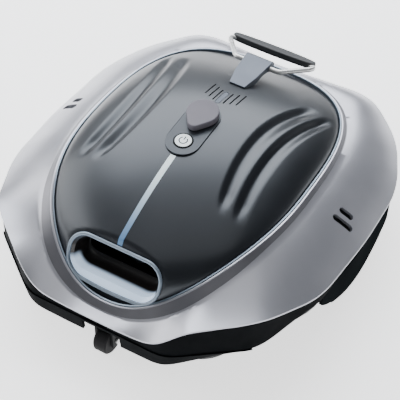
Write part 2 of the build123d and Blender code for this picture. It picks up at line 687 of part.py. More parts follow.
def make_handle_bail():
    """Bent-wire bail."""
    front_a, front_b = (-BAR_HALF, BAR_Y, BAR_Z), (BAR_HALF, BAR_Y, BAR_Z)
    rear_a = (-GRIP_HALF, BAR_Y + GRIP_REACH, BAR_Z - GRIP_DROP)
    rear_b = (GRIP_HALF, BAR_Y + GRIP_REACH, BAR_Z - GRIP_DROP)
    bail = (rod(front_a, front_b, BAR_R) + rod(front_a, rear_a, BAR_R) + rod(front_b, rear_b, BAR_R)
            + rod(rear_a, rear_b, BAR_R))
    node("handle_bail", bail)


GRIP_PLACE = Pos(0, BAR_Y + GRIP_REACH, BAR_Z - GRIP_DROP) * Rot(
    -math.degrees(math.atan2(GRIP_DROP, GRIP_REACH)), 0, 0)


def make_handle_grip():
    """Flat blade on the rear bar."""
    grip = fillet((GRIP_PLACE * Box(84, 10, 8)).edges().filter_by(Axis.X), 1.5)
    grip -= bar_x(-50, 50, BAR_Y + GRIP_REACH, BAR_Z - GRIP_DROP, BAR_R + 0.02)
    node("handle_grip", grip)


# ---- drive wheels -------------------------------------------------------------------------------
GEAR_R, PINION_R, GEAR_X = 12.5, 6.2, 96.0
MOTOR_Z = WHEEL_R + GEAR_R + PINION_R + GAP


def gear(radius, teeth, x, y, z, width=6.0):
    points = []
    for k in range(4 * teeth):
        r = radius if k % 4 < 2 else radius - 1.4
        a = 2 * math.pi * k / (4 * teeth)
        points.append((r * math.cos(a), r * math.sin(a)))
    return extrude(Pos(x - width / 2, y, z) * Rot(0, 90, 0) * make_face(Polyline(*points, close=True)),
                   width)


def pair(name, *solids):
    """The right-hand piece and its mirror image, as two nodes."""
    node(f"{name}_right", *solids)
    node(f"{name}_left", *[s.mirror(Plane.YZ) for s in solids])


X_IN, X_OUT = WHEEL_X - WHEEL_WIDTH / 2, WHEEL_X + WHEEL_WIDTH / 2


def make_wheel_hub():
    """Spoked hubs."""
    hub = bar_x(X_IN + 1, X_OUT - 1, WHEEL_Y, WHEEL_R, 32)
    hub -= bar_x(X_IN + 5, X_OUT + 5, WHEEL_Y, WHEEL_R, 28)
    hub += bar_x(X_IN + 1, X_OUT + 2, WHEEL_Y, WHEEL_R, 9)
    for k in range(5):
        hub += Pos(WHEEL_X + 1, WHEEL_Y, WHEEL_R) * Rot(72 * k, 0, 0) * Pos(0, 0, 18) * Box(18, 5, 22)
    hub -= bar_x(X_IN - 5, X_OUT + 8, WHEEL_Y, WHEEL_R, AXLE_R + 0.03)
    pair("wheel_hub", hub)


def make_wheel_tyre():
    """Tyres with cross treads."""
    tyre = bar_x(X_IN, X_OUT, WHEEL_Y, WHEEL_R, WHEEL_R) - bar_x(X_IN - 1, X_OUT + 1, WHEEL_Y, WHEEL_R, 32.03)
    for k in range(24):
        tyre -= Pos(WHEEL_X, WHEEL_Y, WHEEL_R) * Rot(15 * k + 7.5, 0, 0) * Pos(0, 0, WHEEL_R) * Box(40, 4, 4)
    pair("wheel_tyre", tyre)


def make_wheel_axle():
    """Axles from the gears to the hubs."""
    pair("wheel_axle", bar_x(GEAR_X - 4, X_OUT + 4, WHEEL_Y, WHEEL_R, AXLE_R))


def make_axle_bush():
    """Bushes in the chassis bosses."""
    pair("axle_bush", bar_x(102, 122, WHEEL_Y, WHEEL_R, 7.97)
         - bar_x(100, 124, WHEEL_Y, WHEEL_R, AXLE_R + 0.05))


def make_drive_gear():
    """Gears on the axles."""
    pair("drive_gear", gear(GEAR_R, 24, GEAR_X, WHEEL_Y, WHEEL_R)
         - bar_x(80, 110, WHEEL_Y, WHEEL_R, AXLE_R + 0.03))


def make_motor_pinion():
    """Pinions that drive the gears."""
    pair("motor_pinion", gear(PINION_R, 12, GEAR_X, WHEEL_Y, MOTOR_Z)
         + bar_x(GEAR_X, 110, WHEEL_Y, MOTOR_Z, 1.5))


def make_gear_motor():
    """Gear motors above the axles."""
    pair("gear_motor", bar_x(102, 130, WHEEL_Y, MOTOR_Z, 8.4) - bar_x(100, 112, WHEEL_Y, MOTOR_Z, 1.55))


# ---- rollers ------------------------------------------------------------------------------------
def make_roller():
    """Front and rear rollers, each with its fork and axle."""
    for name, sign in (("front", -1), ("rear", 1)):
        x, y = -sign * ROLLER_X, sign * ROLLER_Y
        half = ROLLER_WIDTH / 2
        roller = bar_x(x - half, x + half, y, ROLLER_R, ROLLER_R) - bar_x(x - 20, x + 20, y, ROLLER_R, 3.05)
        roller = chamfer(roller.edges().filter_by(GeomType.CIRCLE).sort_by(SortBy.RADIUS)[-2:], 1.5)
        node(f"roller_{name}", roller)
        fork = Pos(x, sign * (ROLLER_Y - 4), DECK_Z + 1.6) * Box(46, 24, 3)
        for s in (1, -1):
            fork += Pos(x + s * (half + 2.0), y, (DECK_Z + 3 + 12) / 2) * Box(2.4, 14, DECK_Z - 9)
        fork -= bar_x(x - 20, x + 20, y, ROLLER_R, 3.02)
        node(f"roller_fork_{name}", fork)
        node(f"roller_axle_{name}", bar_x(x - half - 5, x + half + 5, y, ROLLER_R, 3.0))


# ---- the whole cleaner --------------------------------------------------------------------------
def main():
    """Makes every sub-part in turn; a few of them are cut with, or set against, an earlier one."""
    outer, strip, window = make_dome_cover()
    make_light_strip(strip)
    make_indicator_window(window)
    make_rim_bezel()
    make_dome_gasket()
    vents = make_top_shell()
    make_flank_vent(vents)
    make_skirt()
    make_bumper_lip()
    cover = make_wheel_cover_right()
    make_wheel_cover_left(cover)
    screws = make_chassis_tub()
    make_deck_screws(screws)
    make_filter_door()
    make_door_hinge_pins()
    flap = make_inlet_flap_rear()
    make_inlet_flap_front(flap)
    make_door_latch()
    make_filter_basket()
    make_filter_mesh()
    make_outlet_ring()
    make_outlet_duct()
    make_jet_scoop()
    make_pump_housing()
    make_impeller()
    make_pump_motor()
    make_battery_cells()
    make_battery_case()
    make_control_board()
    make_control_plate()
    make_power_button()
    make_button_boot()
    make_button_switch()
    make_charge_socket()
    make_charge_pins()
    make_charging_cap()
    make_handle_tongue(outer)
    make_handle_bail()
    make_handle_grip()
    make_wheel_hub()
    make_wheel_tyre()
    make_wheel_axle()
    make_axle_bush()
    make_drive_gear()
    make_motor_pinion()
    make_gear_motor()
    make_roller()


main()
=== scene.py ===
# %% [markdown]
# # A cordless pool cleaner, dressed for a studio picture
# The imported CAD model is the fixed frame. It already holds every piece at its right place and size,
# so this lesson only adds what a CAD solid lacks: soft edges, flutes, bent wire and real finishes.

# %% Load the frame
import json
import math

import bpy
from mathutils import Matrix, Vector


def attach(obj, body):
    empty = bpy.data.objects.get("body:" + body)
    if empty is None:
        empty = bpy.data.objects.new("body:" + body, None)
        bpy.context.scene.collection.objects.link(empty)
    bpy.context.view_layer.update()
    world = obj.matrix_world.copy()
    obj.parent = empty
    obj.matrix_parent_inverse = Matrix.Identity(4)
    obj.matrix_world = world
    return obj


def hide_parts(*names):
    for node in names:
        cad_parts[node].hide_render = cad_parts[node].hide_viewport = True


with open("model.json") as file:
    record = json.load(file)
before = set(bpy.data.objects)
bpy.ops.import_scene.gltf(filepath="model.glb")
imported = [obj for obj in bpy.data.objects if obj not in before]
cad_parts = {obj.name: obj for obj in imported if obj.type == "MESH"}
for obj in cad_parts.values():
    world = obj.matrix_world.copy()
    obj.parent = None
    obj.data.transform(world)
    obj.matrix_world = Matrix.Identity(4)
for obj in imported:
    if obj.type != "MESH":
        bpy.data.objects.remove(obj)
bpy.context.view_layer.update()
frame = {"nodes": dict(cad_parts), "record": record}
NODES = frame["nodes"]
SLOT_OF = {part["node"]: part["material_slot"] for part in frame["record"]["subparts"]}

# %% [markdown]
# ## The studio
# A pale seamless floor, one broad softbox behind the object that the glossy lid mirrors, a second one at
# the front left that lights the silver shell, and a wide weak one overhead. The camera is a long lens
# from the front right.

# %% Camera
AZIMUTH, ELEVATION, DISTANCE = math.radians(31), math.radians(48.5), 1.4
AIM = Vector((0, -0.014, 0))
toward_camera = Vector((math.sin(AZIMUTH) * math.cos(ELEVATION), -math.cos(AZIMUTH) * math.cos(ELEVATION),
                        math.sin(ELEVATION)))
bpy.ops.object.camera_add(location=AIM + DISTANCE * toward_camera)
camera = bpy.context.object
camera.rotation_euler = toward_camera.to_track_quat("Z", "Y").to_euler()
camera.data.lens, camera.data.sensor_width = 117, 36
camera.data.shift_x, camera.data.shift_y = 0.026, 0.0925
bpy.context.scene.camera = camera

# %% Floor and lights
bpy.ops.mesh.primitive_plane_add(size=12, location=(0, 0, 0))
floor = bpy.context.object
floor.name = "studio_floor"


def softbox(name, place, aim, size, power, tint=(1, 1, 1)):
    """A rectangular area light at a place, turned to face a point."""
    bpy.ops.object.light_add(type="AREA", location=place)
    lamp = bpy.context.object
    lamp.name = name
    lamp.rotation_euler = (Vector(place) - Vector(aim)).to_track_quat("Z", "Y").to_euler()
    lamp.data.shape = "RECTANGLE"
    lamp.data.size, lamp.data.size_y = size
    lamp.data.energy, lamp.data.color = power, tint
    return lamp


softbox("behind_left", (-0.62, 1.05, 1.35), (0, 0, 0.1), (2.2, 1.5), 66, (0.93, 0.96, 1.0))
softbox("front_left", (-1.9, -0.3, 0.9), (0, 0, 0.05), (1.6, 1.4), 28)
softbox("overhead", (0.2, -0.3, 2.6), (0, 0, 0), (2.4, 2.4), 14)
world = bpy.data.worlds.new("studio_air")
world.use_nodes = True
world.node_tree.nodes["Background"].inputs["Color"].default_value = (0.82, 0.86, 0.92, 1)
world.node_tree.nodes["Background"].inputs["Strength"].default_value = 0.12
bpy.context.scene.world = world

# %% [markdown]
# ## Writing materials as sums
# A shader is a chain of small nodes. Wrapping a socket in a class with + - * / lets the chain be
# written as one expression, and any other node comes from one method of the finish.


# %% Sums of sockets
def plug(socket, item):
    """Links a value into a socket, or sets the socket's own number."""
    if isinstance(item, Value):
        socket.id_data.links.new(item.socket, socket)
    else:
        socket.default_value = item


class Value:
    """An output socket that can stand in a sum."""

    def __init__(self, socket):
        self.socket = socket

    def math(self, operation, first, second):
        node = self.socket.id_data.nodes.new("ShaderNodeMath")
        node.operation = operation
        plug(node.inputs[0], first)
        plug(node.inputs[1], second)
        return Value(node.outputs[0])

    def __add__(self, other):
        return self.math("ADD", self, other)

    def __sub__(self, other):
        return self.math("SUBTRACT", self, other)

    def __rsub__(self, other):
        return self.math("SUBTRACT", other, self)

    def __mul__(self, other):
        return self.math("MULTIPLY", self, other)

    def __truediv__(self, other):
        return self.math("DIVIDE", self, other)

    def __pow__(self, other):
        return self.math("POWER", self, other)

    __radd__, __rmul__ = __add__, __mul__


class Finish:
    """A material with one Principled shader."""

    def __init__(self, name, **constants):
        self.material = bpy.data.materials.new(name)
        self.material.use_nodes = True
        self.tree = self.material.node_tree
        self.shader = self.tree.nodes["Principled BSDF"]
        self.place = self.node("TexCoord", out="Object")
        for socket, number in constants.items():
            self.shader.inputs[socket.replace("_", " ")].default_value = number

    def node(self, kind, settings=None, sockets=None, out=0):
        """Any node: its settings first, then the values or links of its sockets."""
        made = self.tree.nodes.new("ShaderNode" + kind)
        for name, setting in (settings or {}).items():
            if name == "stops":
                for stop, (where, colour) in zip(made.color_ramp.elements, setting):
                    stop.position, stop.color = where, colour
            else:
                setattr(made, name, setting)
        for name, item in (sockets or {}).items():
            plug(made.inputs[name], item)
        return Value(made.outputs[out])

    def noise(self, scale, detail=3.0, stretch=None):
        """Noise in object space, from about 0.3 to 0.7."""
        place = self.place
        if stretch:
            place = self.node("Mapping", sockets={"Vector": place, "Scale": stretch})
        return self.node("TexNoise", sockets={"Vector": place, "Scale": scale, "Detail": detail})

    def blend(self, low, high, share):
        """A colour between two colours."""
        return self.node("Mix", {"data_type": "RGBA"}, {0: share, 6: low, 7: high}, out=2)

    def ramp(self, share, start, end):
        """0 below start, 1 above end."""
        return self.node("MapRange", {"interpolation_type": "SMOOTHSTEP"},
                         {"Value": share, "From Min": start, "From Max": end})

    def relief(self, height, depth):
        """Bump of a real depth in metres."""
        plug(self.shader.inputs["Normal"],
             self.node("Bump", sockets={"Height": height, "Strength": 1.0, "Distance": depth}))

    def set(self, socket, item):
        plug(self.shader.inputs[socket], item)


# %% [markdown]
# ## Moulded, painted and metal finishes
# Most pieces are injection moulded. They share one recipe: two close tones mixed by a wide noise, a
# roughness that wanders with a finer noise, and the fine grain of the mould as bump. Only the numbers
# differ, so they stand in a table: the two tones, the roughness range, the grain's scale and depth, and
# constants such as metallic or coat.

# %% Table of finishes
COOL = (0.82, 0.90, 1, 1)      # the blue cast that the lid gives to what it mirrors
GREY = {
    "shell": ((0.42, 0.425, 0.47), (0.48, 0.485, 0.53), (0.30, 0.38), 1800, 0.000012,
              {"Metallic": 0.62, "Coat Weight": 0.15, "Coat Roughness": 0.25}),
    # collar: darker tones that are painted shade for the steep bevel round the lid
    "collar": ((0.17, 0.17, 0.19), (0.22, 0.22, 0.24), (0.34, 0.44), 1500, 0.00001, {"Metallic": 0.7}),
    "trim": ((0.22, 0.28, 0.35), (0.29, 0.35, 0.42), (0.30, 0.40), 1500, 0.00001, {"Metallic": 0.4}),
    "tongue": ((0.075, 0.09, 0.115), (0.105, 0.12, 0.15), (0.32, 0.42), 1500, 0.00001, {"Metallic": 0.4}),
    "steel": ((0.70, 0.71, 0.70), (0.82, 0.82, 0.81), (0.20, 0.36), 600, 0.00001, {"Metallic": 0.55}),
    "brass": ((0.55, 0.40, 0.16), (0.66, 0.50, 0.22), (0.25, 0.45), 500, 0.00002, {"Metallic": 1.0}),
    "motor": ((0.34, 0.35, 0.36), (0.46, 0.47, 0.48), (0.28, 0.45), 500, 0.00002, {"Metallic": 1.0}),
    "dome": ((0.006, 0.007, 0.009), (0.010, 0.011, 0.014), (0.33, 0.38), 350, 0.000006,
             {"Coat Weight": 0.25, "Coat Roughness": 0.25, "IOR": 1.6, "Specular Tint": COOL}),
    "plate": ((0.018, 0.021, 0.026), (0.024, 0.027, 0.034), (0.32, 0.40), 350, 0.00001,
              {"Coat Weight": 0.1, "Specular Tint": COOL}),
    "skirt": ((0.002, 0.0025, 0.003), (0.005, 0.006, 0.007), (0.55, 0.75), 900, 0.00004,
              {"Specular IOR Level": 0.02}),
    "cover": ((0.006, 0.007, 0.008), (0.011, 0.013, 0.014), (0.60, 0.78), 900, 0.00003,
              {"Specular IOR Level": 0.0}),
    "chassis": ((0.016, 0.018, 0.020), (0.028, 0.031, 0.034), (0.45, 0.62), 700, 0.00004, {}),
    "dark": ((0.007, 0.007, 0.008), (0.014, 0.015, 0.016), (0.45, 0.60), 700, 0.00003,
             {"Specular IOR Level": 0.1}),
    "basket": ((0.07, 0.085, 0.10), (0.10, 0.12, 0.14), (0.45, 0.60), 600, 0.00004, {}),
    "hub": ((0.030, 0.032, 0.036), (0.05, 0.053, 0.058), (0.40, 0.55), 700, 0.00003, {}),
    "gear": ((0.58, 0.55, 0.46), (0.66, 0.64, 0.56), (0.40, 0.52), 600, 0.00002,
             {"Subsurface Weight": 0.05}),
    "grip": ((0.020, 0.021, 0.024), (0.034, 0.036, 0.040), (0.34, 0.48), 900, 0.00002, {}),
    "cap": ((0.135, 0.125, 0.155), (0.175, 0.165, 0.195), (0.50, 0.66), 1100, 0.00003, {}),
    "rubber": ((0.008, 0.008, 0.009), (0.018, 0.018, 0.019), (0.48, 0.68), 800, 0.00004,
               {"Specular IOR Level": 0.1}),
    "tyre": ((0.010, 0.010, 0.011), (0.026, 0.025, 0.024), (0.60, 0.82), 700, 0.00008, {}),
    "scoop": ((0.50, 0.60, 0.74), (0.66, 0.76, 0.88), (0.24, 0.36), 500, 0.00001, {"Coat Weight": 0.4}),
    "cell": ((0.01, 0.05, 0.20), (0.02, 0.08, 0.28), (0.25, 0.40), 300, 0.00002, {"Coat Weight": 0.3}),
}
FINISHES = {}
for slot, (low, high, (smooth_end, rough_end), grain, depth, constants) in GREY.items():
    finish = Finish(slot + "_finish", **constants)
    cloud = finish.ramp(finish.noise(14, 4), 0.32, 0.68)
    fine = finish.noise(grain, 2)
    finish.set("Base Color", finish.blend((*low, 1), (*high, 1), cloud * 0.7 + fine * 0.4))
    finish.set("Roughness", finish.noise(60, 5) * (rough_end - smooth_end) * 1.6
               + (smooth_end - 0.3 * (rough_end - smooth_end)))
    finish.relief(fine, depth)
    FINISHES[slot] = finish
print(len(FINISHES), "finishes from the table")

# %% [markdown]
# ## Finishes with a pattern of their own
# The light guide glows white by the button and fades to steel blue at the outlet. The mesh is woven,
# and the circuit board is green with tracks.

# %% Light, button, mesh and board
light = Finish("light_finish", Roughness=0.3)
along = light.node("SeparateXYZ", sockets={0: light.place}, out=1)
fade = light.ramp(along, -0.145, -0.045)
glow = light.blend((0.10, 0.20, 0.36, 1), (0.80, 0.93, 0.95, 1), fade + (light.noise(90) - 0.5) * 0.1)
light.set("Base Color", glow)
light.set("Emission Color", glow)
light.shader.inputs["Emission Strength"].default_value = 0.42
FINISHES["light"] = light

button_finish = Finish("button_finish", Roughness=0.32)
face = button_finish.blend((0.80, 0.90, 0.93, 1), (0.92, 0.97, 1.0, 1), button_finish.noise(220))
button_finish.set("Base Color", face)
button_finish.set("Emission Color", face)
button_finish.shader.inputs["Emission Strength"].default_value = 0.35
FINISHES["button"] = button_finish

weave = Finish("mesh_finish", Roughness=0.6)
threads = weave.node("TexChecker", sockets={"Vector": weave.place, "Scale": 700}, out=1)
weave.set("Base Color", weave.blend((0.03, 0.06, 0.08, 1), (0.10, 0.16, 0.20, 1), threads))
weave.relief(threads, 0.0002)
FINISHES["mesh"] = weave

board = Finish("board_finish", Roughness=0.35)
tracks = board.ramp(board.node("TexVoronoi", {"feature": "DISTANCE_TO_EDGE"},
                               {"Vector": board.place, "Scale": 220}), 0.04, 0.08)
board.set("Base Color", board.blend((0.05, 0.20, 0.09, 1), (0.008, 0.06, 0.03, 1), tracks))
board.relief(tracks, 0.00004)
FINISHES["board"] = board

floor_finish = Finish("floor_finish", Roughness=0.9, Emission_Strength=1.7)
floor_finish.set("Base Color", floor_finish.blend((0.90, 0.90, 0.91, 1), (0.93, 0.93, 0.94, 1),
                                                  floor_finish.noise(3)))
floor_finish.shader.inputs["Emission Color"].default_value = (1, 1, 1, 1)
floor.data.materials.append(floor_finish.material)

for name, obj in NODES.items():
    obj.data.materials.clear()
    obj.data.materials.append(FINISHES[SLOT_OF[name]].material)

# %% [markdown]
# ## Tools of the bench
# All shapes are made in millimetres at their own place and scaled to metres once, when they are done.

# %% Making and finishing pieces
MM = 0.001


def only(piece):
    """Selects one piece and makes it active."""
    bpy.ops.object.select_all(action="DESELECT")
    piece.select_set(True)
    bpy.context.view_layer.objects.active = piece
    return piece


def edit(piece, *steps):
    """Runs edit-mode steps on the whole mesh."""
    only(piece)
    bpy.ops.object.mode_set(mode="EDIT")
    bpy.ops.mesh.select_all(action="SELECT")
    for step in steps:
        step()
    bpy.ops.object.mode_set(mode="OBJECT")
    return piece


def outward():
    bpy.ops.mesh.remove_doubles(threshold=0.0005)
    bpy.ops.mesh.normals_make_consistent(inside=False)


def modify(piece, kind, **settings):
    """Adds a modifier, sets it and applies it."""
    only(piece)
    modifier = piece.modifiers.new(kind.lower(), kind)
    for name, value in settings.items():
        setattr(modifier, name, value)
    bpy.ops.object.modifier_apply(modifier=modifier.name)
    return piece


def round_edges(piece, width, segments=3, angle=35):
    return modify(piece, "BEVEL", width=width, segments=segments, limit_method="ANGLE",
                  angle_limit=math.radians(angle), harden_normals=False)


def cut(piece, cutter):
    """Cuts one piece with another, and removes the cutter."""
    modify(piece, "BOOLEAN", operation="DIFFERENCE", object=cutter, solver="EXACT")
    bpy.data.objects.remove(cutter)
    return piece


def join(*pieces):
    bpy.ops.object.select_all(action="DESELECT")
    for piece in pieces:
        piece.select_set(True)
    bpy.context.view_layer.objects.active = pieces[0]
    bpy.ops.object.join()
    return pieces[0]


def put(piece, place):
    """Moves a mesh by a matrix."""
    piece.data.transform(place)
    return piece


def done(piece, name, body, slot, *nodes, angle=32):
    """Scales to metres, smooths, names, and says what the piece rides on and stands for."""
    piece.name = piece.data.name = name
    put(piece, Matrix.Scale(MM, 4))
    only(piece)
    bpy.ops.object.shade_smooth_by_angle(angle=math.radians(angle))
    modify(piece, "WEIGHTED_NORMAL", keep_sharp=True)
    piece.data.materials.clear()
    piece.data.materials.append(FINISHES[slot].material)
    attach(piece, body)
    if nodes:
        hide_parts(*nodes)
    print(name, len(piece.data.polygons), "faces")
    return piece


def prism(outline, low, high):
    """A prism over an outline: a disc with a vertex for each point, dragged to shape and extruded."""
    bpy.ops.object.select_all(action="DESELECT")
    bpy.ops.mesh.primitive_circle_add(vertices=len(outline), fill_type="NGON")
    piece = bpy.context.object
    for vertex, (x, y) in zip(piece.data.vertices, outline):
        vertex.co = (x, y, low)
    return edit(piece, lambda: bpy.ops.mesh.extrude_region_move(
        TRANSFORM_OT_translate={"value": (0, 0, high - low)}), outward)


def arc(radius, start, end, centre=(0, 0), steps=16):
    """Points along an arc, with its angles in degrees."""
    angles = [math.radians(start + (end - start) * k / steps) for k in range(steps + 1)]
    return [(centre[0] + radius * math.cos(a), centre[1] + radius * math.sin(a)) for a in angles]


def stadium(length, width, steps=16):
    """Outline with round ends, long along X."""
    reach = (length - width) / 2
    return (arc(width / 2, -90, 90, (reach, 0), steps) + arc(width / 2, 90, 270, (-reach, 0), steps))


def drum(radius, low, high, steps=64):
    return prism(arc(radius, 0, 360 - 360 / steps, steps=steps - 1), low, high)


# %% [markdown]
# ## The curves that the body is drawn from
# Lid, trim and shell all follow one egg-shaped rim that arches up at mid-length and dips at the front.
# Writing it once as a function of the angle round the body keeps every piece in step with the CAD.

# %% Rim, ridge and shell edge, in millimetres
RIM_HALF, RIM_FRONT, RIM_REAR, RIM_Z, FRONT_DROP, REAR_DROP = 121, 173, 162, 118, 55, 10
CROWN_Y, CROWN_Z = 15, 156
EDGE = [(0, -196), (80, -196), (150, -143), (182, -72), (186.7, 15), (183, 100), (152, 163), (104, 196),
        (0, 196)]


def smooth(table, at):
    """A smooth curve through (place, value) pairs."""
    k = next((i for i in range(len(table) - 1) if at <= table[i + 1][0]), len(table) - 2)
    (a, va), (b, vb) = table[k], table[k + 1]
    before = table[k - 1] if k > 0 else (2 * a - b, vb)
    after = table[k + 2] if k + 2 < len(table) else (2 * b - a, va)
    ta, tb = (vb - before[1]) / (b - before[0]), (after[1] - va) / (after[0] - a)
    t, span = (at - a) / (b - a), b - a
    return ((2 * t**3 - 3 * t**2 + 1) * va + (t**3 - 2 * t**2 + t) * span * ta
            + (3 * t**2 - 2 * t**3) * vb + (t**3 - t**2) * span * tb)


def rim_radius(angle):
    s, c = abs(math.sin(math.radians(angle))), math.cos(math.radians(angle))
    length, power = (RIM_FRONT, 2.2) if c > 0 else (RIM_REAR, 3.0)
    return ((s / RIM_HALF) ** power + (abs(c) / length) ** power) ** (-1 / power)


def rim_z_at(y):
    return RIM_Z - (FRONT_DROP * (y / RIM_FRONT) ** 4 if y < 0 else REAR_DROP * (y / RIM_REAR) ** 1.5)


def rim_z(angle):
    return rim_z_at(-rim_radius(angle) * math.cos(math.radians(angle)))


def ridge_z(y):
    span, drop, power = (103, 16, 2) if y < CROWN_Y else (140, 45, 1.8)
    return CROWN_Z - drop * (abs(y - CROWN_Y) / span) ** power


def corner_radius(angle):
    """Distance to the straight-sided edge outline along a ray."""
    dx, dy = math.sin(math.radians(angle)), -math.cos(math.radians(angle))
    best = 0
    for (x0, y0), (x1, y1) in zip(EDGE, EDGE[1:]):
        cross = dx * (y1 - y0) - dy * (x1 - x0)
        if abs(cross) > 1e-9:
            r = (x0 * (y1 - y0) - y0 * (x1 - x0)) / cross
            share = (x0 * dy - y0 * dx) / cross
            if r > 0 and -1e-6 <= share <= 1 + 1e-6:
                best = max(best, r)
    return best


def edge_radius(angle):
    """The edge outline with its corners rounded, by averaging over a few degrees."""
    spread = [min(180, abs(angle + 1.2 * k)) for k in range(-5, 6)]
    return sum(corner_radius(a) for a in spread) / len(spread)


print("rim front and rear height", round(rim_z(0), 1), round(rim_z(180), 1))

# %% [markdown]
# ## Sweeping a section round the body
# Trim, shell and skirt are each one section carried round the body and changing as it goes. A circle
# with a vertex every degree and a half is extruded once for each corner of the section, the first and
# last loops are bridged, and then every loop takes its place from the section at its angle.


# %% Round sweep
def sweep(section, steps=240):
    """A closed band round the body. section(angle) gives (radius, height) corners; angle 0 is the front."""
    corners = len(section(0))
    bpy.ops.object.select_all(action="DESELECT")
    bpy.ops.mesh.primitive_circle_add(vertices=steps)
    band = bpy.context.object
    lift = {"TRANSFORM_OT_translate": {"value": (0, 0, 1)}}
    edit(band, *[lambda: bpy.ops.mesh.extrude_region_move(**lift)] * (corners - 1))
    edit(band, lambda: bpy.ops.mesh.select_all(action="DESELECT"),
         lambda: bpy.ops.mesh.select_non_manifold(), lambda: bpy.ops.mesh.bridge_edge_loops())
    for vertex in band.data.vertices:
        angle = math.degrees(math.atan2(vertex.co.x, -vertex.co.y))
        radius, height = section(abs(angle))[round(vertex.co.z)]
        turn = math.radians(angle)
        vertex.co = (radius * math.sin(turn), -radius * math.cos(turn), height)
    return edit(band, outward)


# %% [markdown]
# ## The silver shell
# A one-piece moulding with metallic paint. A narrow collar stands round the lid, falls away in a bevel,
# and the skin then sweeps out to a wavy lower edge with four soft corners.

# %% Shell
BEVEL_WIDTH = [(0, 9), (25, 15), (40, 13), (60, 8), (90, 6.5), (180, 6.5)]
BEVEL_DEPTH = [(0, 6), (25, 10), (40, 8.5), (60, 6), (90, 5), (180, 5)]
BULGE = [(0, 0), (25, 0.5), (45, -1.5), (65, 3), (90, 5), (130, 6), (152, 5), (180, 3)]
EDGE_Z = [(0, 56), (14, 58), (20, 64), (27, 82), (33, 86), (45, 88), (58, 80), (68, 75), (90, 72),
          (112, 69), (128, 73), (140, 77), (151, 86), (165, 82), (180, 78)]
WALL = 3
COLLAR_GAP, COLLAR_RISE, COLLAR_WIDE = 2.8, 1.2, 1.6      # outside the rim, above it, and its flat top
FOOT_TALL, FOOT_WIDE, SKIN_STEP = 2, 2.2, 2.4
SWEPT_STEPS = 9
section_memory = {}


def collar(angle):
    """Radius and height of the collar's top inner corner."""
    return rim_radius(angle) + COLLAR_GAP, rim_z(angle) + COLLAR_RISE


def shell_section(angle):
    """Outside from the collar down to the edge, then inside and back up."""
    key = round(angle, 2)
    if key not in section_memory:
        r0, z0 = collar(angle)
        r1, z1 = r0 + smooth(BEVEL_WIDTH, angle), z0 - smooth(BEVEL_DEPTH, angle)
        r2, z2, bulge = edge_radius(angle), smooth(EDGE_Z, angle), smooth(BULGE, angle)
        swept = [(r1 + (r2 - r1) * t, z1 + (z2 + FOOT_TALL - z1) * t + 4 * bulge * t * (1 - t))
                 for t in [k / SWEPT_STEPS for k in range(1, SWEPT_STEPS)]]
        foot = [(r2, z2 + FOOT_TALL), (r2, z2), (r2 - FOOT_WIDE, z2)]
        outside = [(r0, z0), (r0 + COLLAR_WIDE, z0), (r1, z1)] + swept + foot
        inside = [(r - SKIN_STEP, max(z - WALL, z2)) for r, z in reversed(swept)]
        section_memory[key] = outside + inside + [(r1 - 1.5, max(z1 - WALL, z2)), (r0, z0 - WALL - 1)]
    return section_memory[key]


shell = sweep(shell_section)
VENT, VENT_WIDE = [(-6, 26), (6, 18)], 7      # offset along the flank and length of each slot; its width
VENT_X, VENT_Y, VENT_Z, VENT_LEAN, VENT_SKEW = 160, 14, 92, 36, 12


def vent_slots(sign, low, high, shrink=0.0):
    """The two slanted drain slots of one flank, square to it."""
    flank = (Matrix.Translation((sign * VENT_X, VENT_Y, VENT_Z))
             @ Matrix.Rotation(sign * math.radians(VENT_LEAN), 4, "Y")
             @ Matrix.Rotation(sign * math.radians(VENT_SKEW), 4, "Z"))
    slots = []
    for offset, length in VENT:
        slot = prism(stadium(length - shrink, VENT_WIDE - shrink), low, high)
        slots.append(put(slot, flank @ Matrix.Translation((0, offset, 0))))
    return join(*slots)


for sign in (1, -1):
    cut(shell, vent_slots(sign, -12, 12))
round_edges(shell, 0.45, 2, 40)
done(shell, "shell_silver", "base", "shell", "top_shell")

# %% [markdown]
# ## Collar shade band and drain slots
# A darker band of painted shade lies in the bevel, from just under the collar's top to just short of the
# crease.
# A strip cut from the shell would leave a ragged edge there, so the band is a thin sweep of its own, a hair
# above the bevel. The slots cut in the flanks are closed by dark inserts, made by the same function that
# cut them.

# %% Band and inserts
BAND_START, BAND_END = 0.08, 0.86          # shares of the bevel
BAND_LIFT, BAND_END_LIFT, BAND_SINK = 0.25, 0.45, 0.8


def band_section(angle):
    r0, z0 = collar(angle)
    width, depth = smooth(BEVEL_WIDTH, angle), smooth(BEVEL_DEPTH, angle)
    start_r, start_z = r0 + COLLAR_WIDE + BAND_START * width, z0 - BAND_START * depth
    end_r, end_z = r0 + BAND_END * width, z0 - BAND_END * depth
    return [(start_r, start_z + BAND_LIFT), (end_r, end_z + BAND_END_LIFT),
            (end_r, end_z - BAND_SINK), (start_r, start_z - BAND_SINK)]


shade_band_piece = done(sweep(band_section), "collar_shade_band", "base", "shell")
# the band takes the darker collar finish: painted shade in the bevel
shade_band_piece.data.materials[0] = FINISHES["collar"].material
for sign, side in ((1, "right"), (-1, "left")):
    plug_piece = round_edges(vent_slots(sign, -4, -0.6, 0.2), 0.5)
    done(plug_piece, "drain_slots_" + side, "base", "dark", "flank_vent_" + side)

# %% [markdown]
# ## The lid
# A glossy black egg-shaped dome. It is one sheet: a grid whose rows run across the lid as arches from
# rim to rim. The flat facet for the outlet and the hollowed flutes on both sides are moves of the same
# grid, so the gloss runs over them without a seam, and then the sheet gets its wall and its openings.

# %% Lid surface
ARCH_POWER = 0.6
FACET_Y, FACET_Z, FACET_LEAN = -143, 115, math.radians(27.5)
FLUTE_DEPTH, FLUTE_FALL = 4.0, 0.42
FLUTE_LINES = [(50, 0.0020, 10), (72, 0.0016, 0), (91, 0.0013, 0)]   # nearest |x|, curvature, its y
FLUTE_FRONT, FLUTE_REAR, FLUTE_FADE = -80, 112, 28


